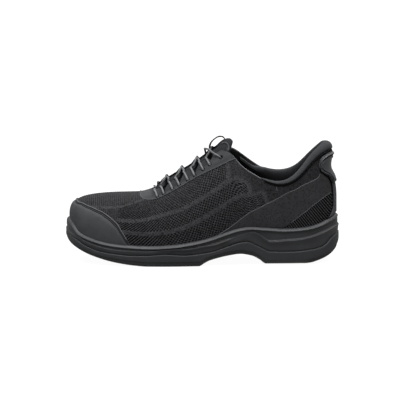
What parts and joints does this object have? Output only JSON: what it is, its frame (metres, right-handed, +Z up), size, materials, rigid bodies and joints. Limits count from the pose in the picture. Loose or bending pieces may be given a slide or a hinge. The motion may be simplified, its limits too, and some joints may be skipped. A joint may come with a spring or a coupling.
{
  "type": "safety shoe",
  "caption": "Low-cut knit safety trainer for the left foot: coated toe guard, padded collar and tongue, cord lacing, moulded cup midsole and grooved rubber outsole.",
  "frame": {"origin": "on the floor under the middle of the shoe's box", "axes": "+X towards the heel, +Y towards the inner (medial) side, +Z up"},
  "size_m": [0.3, 0.1088, 0.1384],
  "materials": {
    "outsole": "moulded rubber, matte",
    "midsole": "moulded polyurethane foam skin, matte",
    "insole": "fabric-covered foam",
    "upper": "engineered knit",
    "tongue": "padded fabric",
    "collar_cuff": "padded lining fabric",
    "toe_guard": "coated microfibre, matte",
    "eyestay": "welded microfibre",
    "counter": "plain woven overlay",
    "backstay": "webbing strip",
    "heel_tab": "moulded soft plastic, satin",
    "tongue_loop": "ribbon",
    "lace": "round braided cord"
  },
  "bodies": {
    "root": {"outsole": "outsole", "midsole": "midsole", "insole": "insole", "upper": "upper", "tongue": "tongue", "collar_cuff": "collar_cuff", "toe_guard": "toe_guard", "eyestay": "eyestay", "counter_lateral": "counter", "counter_medial": "counter", "backstay": "backstay", "heel_tab": "heel_tab", "tongue_loop": "tongue_loop", "lace_bar": "lace", "lace_cross_1": "lace", "lace_cross_2": "lace", "lace_cross_3": "lace", "lace_cross_4": "lace"}
  },
  "joints": []
}
